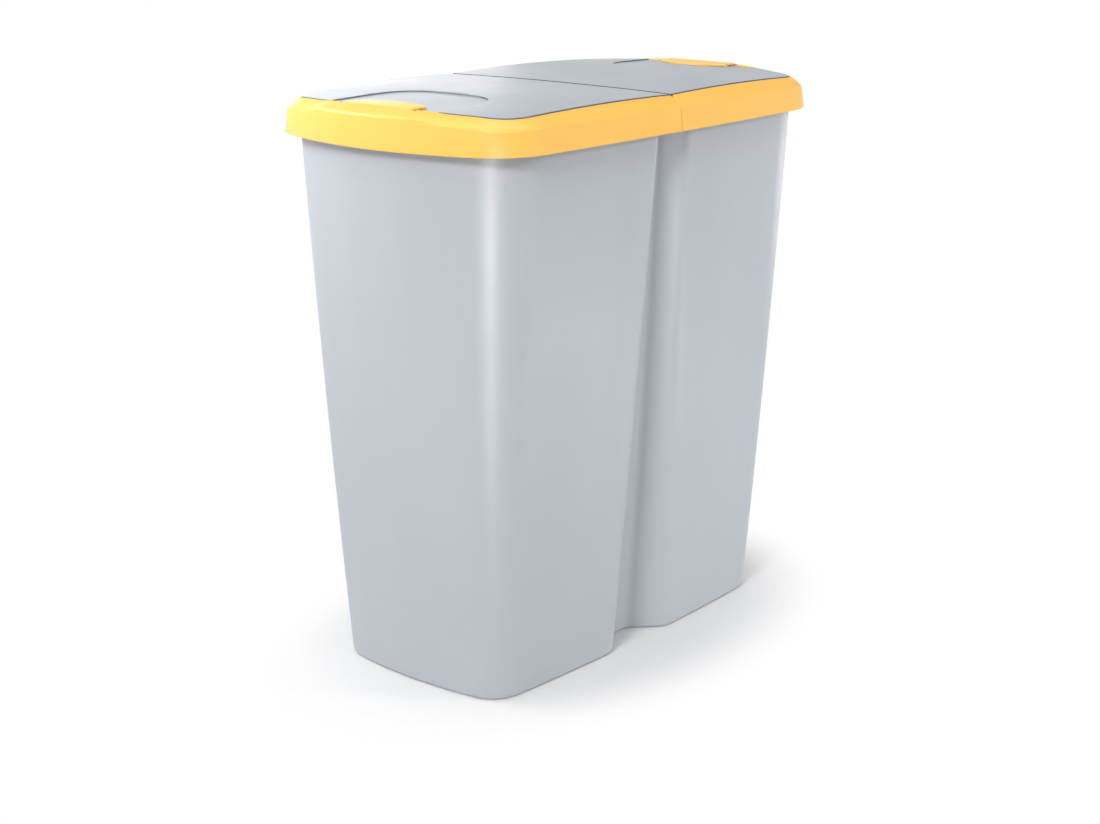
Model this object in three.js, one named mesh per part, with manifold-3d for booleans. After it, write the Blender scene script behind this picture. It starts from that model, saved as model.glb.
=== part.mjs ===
// Double recycling bin: one tub with two chambers side by side, two rim frames that lift off,
// and on each frame a hinged lid with a press latch at its outer edge.
// Millimetres. Origin at the middle of the base, +X along the bin, -Y the front, +Z up.
import * as THREE from 'three';
import { mergeVertices } from 'three/addons/utils/BufferGeometryUtils.js';
import Module from 'manifold-3d';

const wasm = await Module();
wasm.setup();

// ---- Driving dimensions -------------------------------------------------------------------

// Rim, as the two closed frames show it from above, measured at the skirt's lower edge.
const rimLength = 480;
const rimWidth = 278;
const rimEndBow = 17.4;
const rimSideBow = 3.7;
const rimCorner = 51;

// Tub.
const tubHeight = 490;
const baseLength = 392.4;
const baseWidth = 199;
const baseEndBow = 6.2;
const baseSideBow = 5.2;
const baseCorner = 29.5;
const baseEdgeRadius = 4.5;
const topEndBow = 16;
const topSideBow = 3.7;
const topCorner = 55;
const wallBulge = 1.04;
const wall = 2.4;
const floorThickness = 3;
const footPocketDepth = 2;
const footWidth = 9;
const chamberFootRadius = 5;
const partition = 3;
const rimOverhang = 9.2;
const flangeThickness = 2.6;

// Groove down the middle of each long side: it is widest and deepest at the floor.
const grooveBase = { shoulder: 38.5, floor: 14, depth: 26.8, shoulderRadius: 22, footRadius: 12 };
const grooveTop = { shoulder: 20.5, floor: 4.6, depth: 20, shoulderRadius: 10, footRadius: 5 };
const grooveClosureDrop = 16;
const grooveClosureRise = 1.2;
const grooveFootLimit = 0.9;
const grooveShoulderLimit = 0.3;
const grooveShoulderSpare = 2;
const saddleDrop = 10.7;
const saddleLip = 3;
const saddleMargin = 1;

// Frames.
const seamGap = 0.6;
const seamNotchRadius = 2.2;
const skirtOverlap = 21.4;
const skirtDraft = 2.7;
const skirtWall = 2.4;
const skirtEdgeRun = 2.4;
const skirtEdgeRise = 2.6;
const skirtEdgeBend = 0.3;
const skirtRise = 1.6;
const skirtCornerDip = 2.8;
const skirtEndRise = 1.6;
const plateauRise = 6.2;
const plateauHalfWidth = 56;
const plateauBlend = 20;
const bandInset = 13.5;
const bandInsetEnd = 20;
const bandFootRise = 0.4;
const bandSwellPlace = 0.35;
const bandSwell = 0.11;
const shelfReach = 8;
const shelfThickness = 2;
const collarWall = 1.8;
const collarDepth = 26;
const collarRise = 2.2;
const barWall = 1.8;
const barEndRise = 1;

// Lids.
const lidRise = 10;
const lidEndRise = 0.6;
const lidCrown = 0.35;
const lidCrownAtSplit = 1.55;
const lidCrownAtEnd = 5.82;
const lidCrownPlace = 70;
const lidSwell = 2;
const lidThickness = 2.5;
const lidChamfer = 1.2;
const lidSplitGap = 1.6;
const lidStep = 0.2;
const lidStepAtLatch = -0.4;
const recessDepth = 1.2;
const recessHalfWidth = 60;
const recessLength = 89;
const recessSquareness = 4;
const ribHeight = 6;
const ribWall = 2.24;
const ribInset = 11;
const ribLatchGap = 3.6;
const ribSaddleGap = 2;

// Hinge of each lid.
const hingeInset = 11.2;
const hingeDrop = 6.6;
const pinRadius = 1.5;
const pinBite = 2.5;
const pinHeadRadius = 2.4;
const pinHeadThickness = 1.4;
const earRadius = 3.3;
const earThickness = 2.2;

// Press latch of each lid.
const latchHalfWidth = 37.6;
const latchDepth = 17;
const latchBow = 11;
const latchPlate = 1.8;
const latchRise = 0.3;
const latchPivotInset = 2;
const latchPivotDrop = 3.6;
const trunnionRadius = 1.4;
const trunnionLength = 3;
const cheekThickness = 3.6;
const cheekHalfLength = 2.8;
const hookHalfWidth = 12;
const hookWall = 2;
const hookInset = 4;
const hookDrop = 12;
const toothHeight = 2;
const toothReach = 1.7;
const ledgeHeight = 1.8;
const ledgeMargin = 1;
const apronReach = 0.4;
const apronBond = 1.5;
const bearingWall = 1.8;
const bearingEndWall = 0.8;
const cheekWall = 0.8;
const latchRoomBehind = 3;
const latchTravelRoom = 7;

// Clearances.
const fit = 0.6;
const closeFit = 0.3;
const pinFit = 0.25;

// How far bodies that are joined reach into each other, and how far cutters reach past what
// they cut. The shelf keeps a sliver at the band's face where the latch's room begins.
const bond = 1;
const plateBond = 0.5;
const ribBond = 0.4;
const earBond = 0.6;
const bearingBond = 1.2;
const overcut = 1;
const clearAbove = 10;
const clearBeyond = 9;
const sliver = 0.05;

// Mesh fineness.
const sideSteps = 4;
const cornerSteps = 7;
const endSteps = 6;
const filletSteps = 4;
const edgeSteps = 3;
const splitSteps = 8;
const leastStep = 0.3;
const leastRibStep = 1;
const wallLevels = [0.22, 0.48, 0.75];
const domeRings = [0.25, 0.55, 0.82];
const roundSteps = 20;
const recessSteps = 12;
const bowSteps = 8;

// ---- Derived places ------------------------------------------------------------------------

const skirtBottom = tubHeight - skirtOverlap;
const tubTopLength = rimLength - 2 * rimOverhang;
const tubTopWidth = rimWidth - 2 * rimOverhang;
const saddleFloor = tubHeight - saddleDrop;
const grooveClosure = tubHeight - grooveClosureDrop;
const lidTopCentre = tubHeight + lidRise;
const lidReach = rimLength / 2 - bandInsetEnd - fit;
const lidHalfWidth = rimWidth / 2 - bandInset - fit;
const hingeHeight = lidTopCentre - hingeDrop;
const seatHeight = tubHeight + closeFit;

const mix = (a, b, t) => a + (b - a) * t;

// Height of the lids' upper surface: each lid is a shallow dome that swells towards its own
// middle and falls away towards its long sides, most at the bin's ends.
function lidTop(x, y) {
  const along = (x / lidReach) ** 2;
  const across = (y / lidHalfWidth) ** 2;
  const past = Math.abs(x) - lidCrownPlace;
  const [most, run] = past > 0 ? [lidCrownAtEnd, lidReach - lidCrownPlace] : [lidCrownAtSplit, lidCrownPlace];
  const crown = mix(lidCrown, most, (past / run) ** 2);
  const swell = lidSwell * Math.sin(Math.PI * x / lidReach) ** 2 * (1 - across);
  return lidTopCentre + lidEndRise * along - crown * across + swell;
}

// ---- Plan outlines -------------------------------------------------------------------------

const rimPlan = {
  halfLength: rimLength / 2,
  halfWidth: rimWidth / 2,
  endBow: rimEndBow,
  sideBow: rimSideBow,
  corner: rimCorner,
};

function tubPlan(z) {
  const t = z / skirtBottom;
  const bulge = 4 * wallBulge * t * (1 - t);
  return {
    halfLength: mix(baseLength, tubTopLength, t) / 2 + bulge,
    halfWidth: mix(baseWidth, tubTopWidth, t) / 2 + bulge,
    endBow: mix(baseEndBow, topEndBow, t),
    sideBow: mix(baseSideBow, topSideBow, t),
    corner: mix(baseCorner, topCorner, t),
  };
}

function grooveAt(z, share = 1) {
  const t = z / skirtBottom;
  const groove = {};
  for (const key of Object.keys(grooveBase)) groove[key] = mix(grooveBase[key], grooveTop[key], t);
  groove.share = share;
  return groove;
}

// Half of the groove's plan, from its middle to its shoulder: floor, foot fillet, slanted wall
// and shoulder fillet. Each point has its distance from the middle, its depth and its normal.
function grooveProfile(groove) {
  const run = groove.shoulder - groove.floor;
  const slope = Math.atan2(groove.depth, run);
  const half = Math.tan(slope / 2);
  const foot = Math.min(groove.footRadius, grooveFootLimit * groove.floor / half);
  const shoulder = Math.min(groove.shoulderRadius, grooveShoulderLimit * run / half + grooveShoulderSpare);
  const footStart = groove.floor - foot * half;
  const shoulderEnd = groove.shoulder + shoulder * half;
  const points = [{ x: 0, depth: groove.depth, turn: 0 }];
  for (let i = 0; i <= filletSteps; i++) {
    const turn = slope * i / filletSteps;
    const depth = groove.depth - foot * (1 - Math.cos(turn));
    points.push({ x: footStart + foot * Math.sin(turn), depth, turn });
  }
  for (let i = 0; i <= filletSteps; i++) {
    const turn = slope * (1 - i / filletSteps);
    const depth = shoulder * (1 - Math.cos(turn));
    points.push({ x: shoulderEnd - shoulder * Math.sin(turn), depth, turn });
  }
  return points.map((p) => ({
    x: p.x,
    depth: p.depth * groove.share,
    nx: groove.share ? -Math.sin(p.turn) : 0,
    ny: groove.share ? -Math.cos(p.turn) : -1,
  }));
}

// A quarter of a plan outline: from the middle of the front side, round the corner, to the
// middle of the +X end. Sides and ends are shallow bows and the corner is an arc.
function quarterOutline(plan, groove = null) {
  const coreLength = plan.halfLength - plan.corner;
  const coreWidth = plan.halfWidth - plan.corner;
  const sideY = (x) => coreWidth - plan.sideBow * (x / coreLength) ** 2;
  const endX = (y) => coreLength - plan.endBow * (y / coreWidth) ** 2;
  let cornerX = coreLength;
  let cornerY = coreWidth;
  for (let i = 0; i < 30; i++) {
    cornerX = endX(cornerY);
    cornerY = sideY(cornerX);
  }
  const points = [];
  const put = (x, y, nx, ny) => {
    const size = Math.hypot(nx, ny);
    const normal = { nx: nx / size, ny: ny / size };
    points.push({ x: x + plan.corner * normal.nx, y: y + plan.corner * normal.ny, ...normal });
  };
  const sideSlope = (x) => 2 * plan.sideBow * x / coreLength ** 2;
  const endSlope = (y) => 2 * plan.endBow * y / coreWidth ** 2;
  let start = 0;
  if (groove) {
    for (const p of grooveProfile(groove)) {
      points.push({ x: p.x, y: -sideY(p.x) - plan.corner + p.depth, nx: p.nx, ny: p.ny });
      start = p.x;
    }
  } else {
    put(0, -sideY(0), 0, -1);
  }
  for (let i = 1; i <= sideSteps; i++) {
    const x = mix(start, cornerX, i / sideSteps);
    put(x, -sideY(x), sideSlope(x), -1);
  }
  const from = Math.atan2(-1, sideSlope(cornerX));
  const to = Math.atan2(-endSlope(cornerY), 1);
  for (let i = 1; i <= cornerSteps; i++) {
    const angle = mix(from, to, i / cornerSteps);
    put(cornerX, -cornerY, Math.cos(angle), Math.sin(angle));
  }
  for (let i = 1; i <= endSteps; i++) {
    const y = mix(cornerY, 0, i / endSteps);
    put(endX(y), -y, 1, -endSlope(y));
  }
  return points;
}

// The +X half of an outline, from the front's middle to the back's middle.
function halfOutline(plan, groove = null) {
  const front = quarterOutline(plan, groove);
  const back = front.slice(0, -1).reverse().map((p) => ({ x: p.x, y: -p.y, nx: p.nx, ny: -p.ny }));
  return front.concat(back);
}

// The whole outline, counter-clockwise seen from above.
function fullOutline(plan, groove = null) {
  const right = halfOutline(plan, groove);
  const left = right.slice(1, -1).map((p) => ({ x: -p.x, y: -p.y, nx: -p.nx, ny: -p.ny }));
  return right.concat(left);
}

const inset = (points, by) => points.map((p) => ({ ...p, x: p.x - by * p.nx, y: p.y - by * p.ny }));
const atHeight = (points, z) => points.map((p) => new THREE.Vector3(p.x, p.y, z));

// Rings round one chamber's inside: at each level the +X half of the tub's outline, moved in by
// the wall and by the level's own inset, and closed by the partition's face.
function chamberRings(levels) {
  const rings = levels.map(([z, by]) => {
    const face = partition / 2 + by;
    const points = inset(halfOutline(tubPlan(z), grooveAt(z)), wall + by);
    points[0].x = face;
    points[points.length - 1].x = face;
    return atHeight(points, z);
  });
  const last = rings[0].length - 1;
  const clear = (i) => rings.every((ring) => ring[i].x > ring[0].x + leastStep);
  return rings.map((ring) => ring.filter((p, i) => i === 0 || i === last || clear(i)));
}

// ---- Solids --------------------------------------------------------------------------------

// A closed solid through rings of points that all have the same count, in order outwards
// from the bottom cap; each ring runs counter-clockwise seen from above.
function loft(rings) {
  const count = rings[0].length;
  const positions = [];
  const index = [];
  for (const ring of rings) for (const p of ring) positions.push(p.x, p.y, p.z);
  for (let r = 0; r + 1 < rings.length; r++) {
    for (let i = 0; i < count; i++) {
      const a = r * count + i;
      const b = r * count + (i + 1) % count;
      index.push(a, b, b + count, a, b + count, a + count);
    }
  }
  const cap = (ring, offset, up) => {
    const flat = ring.map((p) => new THREE.Vector2(p.x, p.y));
    for (const [a, b, c] of THREE.ShapeUtils.triangulateShape(flat, [])) {
      if (up) index.push(offset + a, offset + b, offset + c);
      else index.push(offset + a, offset + c, offset + b);
    }
  };
  cap(rings[0], 0, false);
  cap(rings[rings.length - 1], (rings.length - 1) * count, true);
  return indexed(positions, index);
}

// A closed ring: the same section of points carried round a closed row of stations.
function ringSweep(stations) {
  const count = stations[0].length;
  const positions = [];
  const index = [];
  for (const station of stations) for (const p of station) positions.push(p.x, p.y, p.z);
  for (let s = 0; s < stations.length; s++) {
    const next = (s + 1) % stations.length;
    for (let i = 0; i < count; i++) {
      const a = s * count + i;
      const b = s * count + (i + 1) % count;
      const c = next * count + (i + 1) % count;
      const d = next * count + i;
      index.push(a, c, b, a, d, c);
    }
  }
  return indexed(positions, index);
}

function indexed(positions, index) {
  const geometry = new THREE.BufferGeometry();
  geometry.setAttribute('position', new THREE.Float32BufferAttribute(positions, 3));
  geometry.setIndex(index);
  return geometry;
}

function box(x0, x1, y0, y1, z0, z1) {
  const geometry = new THREE.BoxGeometry(x1 - x0, y1 - y0, z1 - z0);
  return geometry.translate((x0 + x1) / 2, (y0 + y1) / 2, (z0 + z1) / 2);
}

// A round bar along Z.
function post(radius, x, y, z0, z1) {
  const geometry = new THREE.CylinderGeometry(radius, radius, z1 - z0, roundSteps);
  return geometry.rotateX(Math.PI / 2).translate(x, y, (z0 + z1) / 2);
}

// A round bar along Y.
function bar(radius, x, y0, y1, z) {
  const geometry = new THREE.CylinderGeometry(radius, radius, y1 - y0, roundSteps);
  return geometry.translate(x, (y0 + y1) / 2, z);
}

function toSolid(geometry) {
  const bare = geometry.clone();
  bare.deleteAttribute('normal');
  bare.deleteAttribute('uv');
  const merged = mergeVertices(bare, 1e-4);
  return new wasm.Manifold(new wasm.Mesh({
    numProp: 3,
    vertProperties: new Float32Array(merged.attributes.position.array),
    triVerts: new Uint32Array(merged.index.array),
  }));
}

function join(first, ...rest) {
  return rest.reduce((solid, geometry) => solid.add(toSolid(geometry)), first);
}

function cut(first, ...rest) {
  return rest.reduce((solid, geometry) => solid.subtract(toSolid(geometry)), first);
}

function toGeometry(solid) {
  const mesh = solid.getMesh();
  const geometry = indexed(Array.from(mesh.vertProperties), Array.from(mesh.triVerts));
  geometry.computeVertexNormals();
  return geometry;
}

// The same shape on the other side of the middle plane.
function mirrored(geometry) {
  const copy = geometry.clone().scale(-1, 1, 1);
  const index = copy.index.array;
  for (let i = 0; i < index.length; i += 3) [index[i], index[i + 1]] = [index[i + 1], index[i]];
  copy.computeVertexNormals();
  return copy;
}

// A curved sheet over a plan outline, between two height functions. Its upper edge may be
// broken by a chamfer, and points with a lean move back along X as the edge rises.
function sheet(outline, lower, upper, chamfer = 0) {
  const middle = new THREE.Vector2();
  for (const p of outline) middle.add(new THREE.Vector2(p.x, p.y).divideScalar(outline.length));
  const at = (points, height, drop = 0) => points.map((p) => {
    return new THREE.Vector3(p.x, p.y, height(p.x, p.y) - drop);
  });
  const shrunk = (points, share) => points.map((p) => ({
    x: mix(middle.x, p.x, share),
    y: mix(middle.y, p.y, share),
  }));
  const rings = domeRings.map((share) => at(shrunk(outline, share), lower));
  rings.push(at(outline, lower));
  const leant = (points, step) => points.map((p) => ({ ...p, x: p.x + (p.lean ? p.lean[step] : 0) }));
  if (chamfer) rings.push(at(leant(outline, 0), upper, chamfer));
  const edge = chamfer ? leant(inset(outline, chamfer), 1) : outline;
  rings.push(at(edge, upper));
  for (const share of [...domeRings].reverse()) rings.push(at(shrunk(edge, share), upper));
  return loft(rings);
}

// ---- Tub -----------------------------------------------------------------------------------

function tub() {
  const rings = [];
  const ring = (z, share, by = 0) => {
    rings.push(atHeight(inset(fullOutline(tubPlan(z), grooveAt(z, share)), by), z));
  };
  for (let i = 0; i <= edgeSteps; i++) {
    const angle = i * Math.PI / 2 / edgeSteps;
    ring(baseEdgeRadius * (1 - Math.cos(angle)), 1, baseEdgeRadius * (1 - Math.sin(angle)));
  }
  for (const share of wallLevels) ring(grooveClosure * share, 1);
  ring(grooveClosure, 1);
  ring(grooveClosure + grooveClosureRise, 0);
  ring(tubHeight, 0);

  const flangeInset = skirtWall + skirtDraft + closeFit;
  const flangeEdge = inset(fullOutline(rimPlan), flangeInset);
  const flange = loft([atHeight(flangeEdge, tubHeight - flangeThickness), atHeight(flangeEdge, tubHeight)]);
  let solid = join(toSolid(loft(rings)), flange);

  const chamberFloor = floorThickness + footPocketDepth;
  const over = tubHeight + overcut;
  const levels = [[0, 1], [0.3, 0.3], [1, 0]].map(([rise, by]) => {
    return [chamberFloor + rise * chamberFootRadius, by * chamberFootRadius];
  });
  for (const share of wallLevels) levels.push([grooveClosure * share, 0]);
  levels.push([tubHeight - collarDepth, 0], [grooveClosure, 0], [over, 0]);
  const chamber = loft(chamberRings(levels));
  const pocket = loft(chamberRings([[-overcut, footWidth], [footPocketDepth, footWidth]]));
  solid = cut(solid, chamber, mirrored(chamber), pocket, mirrored(pocket));

  const saddleX = saddleHalfLength();
  const saddleY = saddleHalfWidth();
  return cut(solid, box(-saddleX, saddleX, -saddleY, saddleY, saddleFloor, over));
}

// The saddle is the lowered middle of the tub's mouth, where the frames' cross bars lie.
function saddleHalfLength() {
  const profile = grooveProfile(grooveAt(saddleFloor));
  return profile[profile.length - 1].x + saddleMargin;
}

function saddleHalfWidth() {
  return tubPlan(tubHeight).halfWidth - saddleLip;
}

// ---- Frames (built on the +X side) ----------------------------------------------------------

// One station of the frame's ring: skirt, slanted band, drop to the lid's shelf, seat.
function frameSection(p) {
  const end = p.nx ** 4;
  const inner = mix(bandInset, bandInsetEnd, end);
  const at = (by, z) => new THREE.Vector3(p.x - by * p.nx, p.y - by * p.ny, z);
  const edge = at(inner, 0);
  const top = lidTop(edge.x, edge.y);
  const fromPlateau = Math.abs(p.y) - plateauHalfWidth;
  const raised = end > 0.5 ? 1 - THREE.MathUtils.smoothstep(fromPlateau, 0, plateauBlend) : 0;
  const bandTop = top - mix(lidStep, lidStepAtLatch, raised);
  const dip = skirtCornerDip * (2 * p.nx * p.ny) ** 2;
  const plain = tubHeight + skirtRise + skirtEndRise * p.nx ** 2 - dip;
  const skirtTop = mix(plain, tubHeight + plateauRise, raised);
  const shelf = top - lidThickness - closeFit;
  const bandFoot = skirtDraft + skirtEdgeRun;
  return [
    at(0, skirtBottom),
    at(skirtDraft, skirtTop - skirtEdgeRise),
    at(skirtDraft + skirtEdgeBend * skirtEdgeRun, skirtTop - skirtEdgeBend * skirtEdgeRise),
    at(bandFoot, skirtTop + bandFootRise),
    at(mix(bandFoot, inner, bandSwellPlace), mix(skirtTop, bandTop, bandSwellPlace + bandSwell)),
    at(inner, bandTop),
    at(inner, shelf),
    at(inner + shelfReach, shelf),
    at(inner + shelfReach, shelf - shelfThickness),
    at(inner, shelf - shelfThickness),
    at(inner, seatHeight),
    at(skirtDraft + skirtWall, seatHeight),
    at(skirtWall, skirtBottom),
  ];
}

function frame() {
  const ring = toSolid(ringSweep(fullOutline(rimPlan).map(frameSection)));
  const far = rimLength;
  const over = lidTopCentre + clearAbove;
  const half = seamGap / 2;
  let solid = cut(ring, box(-far, half, -far, far, 0, over));

  // Collar that plugs into the chamber and holds the bag.
  const collarBottom = tubHeight - collarDepth;
  const collarTop = seatHeight + collarRise;
  const collarInner = fit + collarWall;
  const collar = cut(
    toSolid(loft(chamberRings([[collarBottom, fit], [collarTop, fit]]))),
    loft(chamberRings([[collarBottom - overcut, collarInner], [collarTop + overcut, collarInner]])),
  );

  // Cross bar in the tub's saddle: floor, wall towards the chamber and the two hinge cheeks.
  const barFloor = saddleFloor + fit;
  const barTop = tubHeight;
  const barReach = hingeInset + earRadius + fit;
  const barHalf = saddleHalfWidth() - fit;
  const cheekFace = rimWidth / 2 - bandInset;
  const cheekTop = seatHeight + barEndRise;
  solid = solid.add(collar);
  solid = cut(solid, box(half - overcut, barReach, -cheekFace, cheekFace, barFloor, over));
  solid = join(
    solid,
    box(half, barReach + barWall, -barHalf, barHalf, barFloor, barFloor + barWall),
    box(barReach, barReach + barWall, -cheekFace - bond, cheekFace + bond, barFloor, barTop),
    box(half, barReach + barWall, -barHalf, -cheekFace, barFloor, cheekTop),
    box(half, barReach + barWall, cheekFace, barHalf, barFloor, cheekTop),
  );
  for (const side of [-1, 1]) {
    const ends = [side * (cheekFace - overcut), side * (cheekFace + pinBite)].sort((a, b) => a - b);
    solid = cut(
      solid,
      bar(pinRadius + pinFit, hingeInset, ends[0], ends[1], hingeHeight),
      post(seamNotchRadius, half, side * cheekFace, hingeHeight + pinRadius + overcut, over),
    );
  }

  // Room for the latch in the shelf, and the ledge that its hook goes under.
  const inner = rimLength / 2 - bandInsetEnd;
  const room = latchHalfWidth + trunnionLength + 2 * fit;
  const low = tubHeight - latchTravelRoom;
  const ledgeTop = toothTop() + closeFit + ledgeHeight;
  const roomStart = inner - shelfReach - latchRoomBehind;
  solid = cut(solid, box(roomStart, inner - sliver, -room, room, seatHeight, over));
  const ledgeFace = hookFace() + toothReach + closeFit;
  const width = hookHalfWidth + ledgeMargin;
  return join(
    solid,
    box(ledgeFace, inner + apronBond, -width, width, ledgeTop - ledgeHeight, ledgeTop),
    box(inner - apronReach, inner + apronBond, -width, width, low, seatHeight + bond),
  );
}

// ---- Lids (built on the +X side) -------------------------------------------------------------

// A lid's outline: the rim's outline moved in by the band, cut straight at the bin's middle.
function lidOutline(by) {
  const points = halfOutline(rimPlan).map((p) => {
    const move = mix(bandInset, bandInsetEnd, p.nx ** 4) + by;
    return { ...p, x: p.x - move * p.nx, y: p.y - move * p.ny };
  });
  const face = lidSplitGap / 2 + by - fit;
  const front = points[0];
  const back = points[points.length - 1];
  for (const p of [front, back]) {
    p.x = face;
    p.lean = splitLean(p.y);
  }
  const steps = [];
  for (let i = 1; i < splitSteps; i++) {
    const y = mix(back.y, front.y, i / splitSteps);
    steps.push({ x: face, y, nx: 0, ny: 0, lean: splitLean(y) });
  }
  return points.concat(steps);
}

// How far the lid's edge at the split leans back at its chamfer and at its top, so that the
// whole edge turns on one radius about the hinge.
function splitLean(y) {
  const run = hingeInset - lidSplitGap / 2;
  const drop = lidTop(0, y) - hingeHeight;
  const radius = Math.hypot(run, drop - lidThickness);
  return [drop - lidChamfer, drop].map((rise) => run - Math.sqrt(radius ** 2 - rise ** 2));
}

// The recess round the latch: half of a squarish oval, open at the lid's outer edge.
function recessOutline() {
  const outer = lidReach + clearBeyond;
  const points = [{ x: outer, y: -recessHalfWidth }, { x: outer, y: recessHalfWidth }];
  const round = (value) => Math.sign(value) * Math.abs(value) ** (2 / recessSquareness);
  for (let i = 0; i <= recessSteps; i++) {
    const angle = Math.PI * (0.5 - i / recessSteps);
    const along = i % recessSteps ? round(Math.cos(angle)) : 0;
    points.push({ x: lidReach - recessLength * along, y: recessHalfWidth * round(Math.sin(angle)) });
  }
  return points;
}

// The latch from above: a strip whose edge towards the bin's middle is a shallow bow.
function latchOutline(grow, outer) {
  const half = latchHalfWidth + grow;
  const points = [{ x: outer, y: -half }, { x: outer, y: half }];
  for (let i = 0; i <= bowSteps; i++) {
    const across = 1 - 2 * i / bowSteps;
    points.push({ x: latchInner() - grow - latchBow * (1 - across ** 2), y: half * across });
  }
  return points;
}

const latchInner = () => lidReach - latchDepth;
const latchPivotX = () => latchInner() + latchPivotInset;
const latchTop = () => lidTop(lidReach, 0) + latchRise;
const latchPivotZ = () => latchTop() - latchPivotDrop;
const hookFace = () => lidReach - hookInset;
const toothTop = () => latchTop() - latchPlate - hookDrop + toothHeight;

function lid() {
  const underside = (x, y) => lidTop(x, y) - lidThickness;
  let solid = toSolid(sheet(lidOutline(fit), underside, lidTop, lidChamfer));
  const recess = sheet(
    recessOutline(),
    (x, y) => lidTop(x, y) - recessDepth,
    (x, y) => lidTop(x, y) + clearAbove,
  );
  solid = cut(solid, recess);

  // Stiffening rib that runs round under the lid, inside the frame's shelf.
  const ribX = latchInner() - latchBow - ribLatchGap;
  const ribStart = saddleHalfLength() + ribSaddleGap;
  const clampX = (x) => Math.min(Math.max(x, ribStart), ribX);
  const ribOutline = lidOutline(ribInset).map((p) => ({ ...p, x: clampX(p.x) }));
  const ribPoints = ribOutline.filter((p, i) => {
    const q = ribOutline[(i + 1) % ribOutline.length];
    return Math.hypot(p.x - q.x, p.y - q.y) > leastRibStep;
  });
  const centre = { x: (ribStart + ribX) / 2, y: 0 };
  const rib = ringSweep(ribPoints.map((p) => {
    const top = underside(p.x, p.y) + ribBond;
    const away = new THREE.Vector2(p.x - centre.x, p.y - centre.y).normalize();
    const x = p.x - ribWall * away.x;
    const y = p.y - ribWall * away.y;
    return [
      new THREE.Vector3(p.x, p.y, top),
      new THREE.Vector3(x, y, top),
      new THREE.Vector3(x, y, top - ribHeight),
      new THREE.Vector3(p.x, p.y, top - ribHeight),
    ];
  }));
  solid = join(solid, rib);

  // Hinge ears at the two long sides.
  const face = lidHalfWidth;
  for (const side of [-1, 1]) {
    const [near, far] = [side * (face - earThickness), side * face].sort((a, b) => a - b);
    const plate = underside(hingeInset, face);
    solid = join(
      solid,
      bar(earRadius, hingeInset, near, far, hingeHeight),
      box(hingeInset - earRadius, hingeInset + earRadius, near, far, hingeHeight, plate + earBond),
    );
    solid = cut(solid, bar(pinRadius + pinFit, hingeInset, near - overcut, far + overcut, hingeHeight));
  }

  // Opening for the latch, with an ear on each side that carries its trunnion.
  const opening = latchHalfWidth + fit;
  const earOuter = opening + trunnionLength;
  const pivotX = latchPivotX();
  const pivotZ = latchPivotZ();
  const reach = trunnionRadius + closeFit + bearingWall;
  const openingEdge = latchOutline(fit, lidReach + clearBeyond);
  solid = cut(solid, loft([atHeight(openingEdge, tubHeight), atHeight(openingEdge, lidTopCentre + clearAbove)]));
  for (const side of [-1, 1]) {
    const [near, far] = [side * opening, side * earOuter].sort((a, b) => a - b);
    const plate = underside(pivotX, earOuter) - recessDepth / 2;
    const ends = [side * (opening - overcut), side * (earOuter - bearingEndWall)].sort((a, b) => a - b);
    solid = join(solid, box(pivotX - reach, pivotX + reach, near, far, pivotZ - reach, plate + bearingBond));
    solid = cut(solid, bar(trunnionRadius + closeFit, pivotX, ends[0], ends[1], pivotZ));
  }
  return solid;
}

// ---- Latch (built on the +X side) -------------------------------------------------------------

function latch() {
  const top = latchTop();
  const bottom = top - latchPlate;
  const half = latchHalfWidth;
  const pivotX = latchPivotX();
  const pivotZ = latchPivotZ();
  const edge = latchOutline(0, lidReach);
  let solid = toSolid(loft([atHeight(edge, bottom), atHeight(edge, top)]));
  for (const side of [-1, 1]) {
    const [near, far] = [side * (half - cheekThickness), side * half].sort((a, b) => a - b);
    const tip = side * (half + trunnionLength - fit);
    const [from, to] = [side * (half - bond), tip].sort((a, b) => a - b);
    const x0 = Math.max(latchInner(), pivotX - cheekHalfLength);
    solid = join(
      solid,
      box(x0, pivotX + cheekHalfLength, near, far, pivotZ - trunnionRadius - cheekWall, bottom + plateBond),
      bar(trunnionRadius, pivotX, from, to, pivotZ),
    );
  }
  const face = hookFace();
  const foot = bottom - hookDrop;
  return join(
    solid,
    box(face - hookWall, face, -hookHalfWidth, hookHalfWidth, foot, bottom + plateBond),
    box(face - plateBond, face + toothReach, -hookHalfWidth, hookHalfWidth, foot, foot + toothHeight),
  );
}

// ---- Hinge pin (built on the +X side, at the back) ---------------------------------------------

function pin() {
  const head = lidHalfWidth - earThickness - closeFit;
  const tip = lidHalfWidth + fit + pinBite - closeFit;
  return join(
    toSolid(bar(pinRadius, hingeInset, head - plateBond, tip, hingeHeight)),
    bar(pinHeadRadius, hingeInset, head - pinHeadThickness, head, hingeHeight),
  );
}

// ---- Assembly -------------------------------------------------------------------------------

const grey = { color: 0xb4bac2, roughness: 0.42, metalness: 0 };
const lidGrey = { color: 0xb2b8c1, roughness: 0.38, metalness: 0 };
const yellow = { color: 0xffcf68, roughness: 0.4, metalness: 0 };
const pinGrey = { color: 0x9aa0a6, roughness: 0.5, metalness: 0 };

const bin = new THREE.Group();

function place(name, geometry, look) {
  const mesh = new THREE.Mesh(geometry, new THREE.MeshStandardMaterial(look));
  mesh.name = name;
  bin.add(mesh);
}

place('tub', toGeometry(tub()), grey);

const sides = [
  ['right', (geometry) => geometry],
  ['left', mirrored],
];
const frameShape = toGeometry(frame());
const lidShape = toGeometry(lid());
const latchShape = toGeometry(latch());
const backPin = toGeometry(pin());
const frontPin = backPin.clone().rotateZ(Math.PI).translate(2 * hingeInset, 0, 0);

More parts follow.
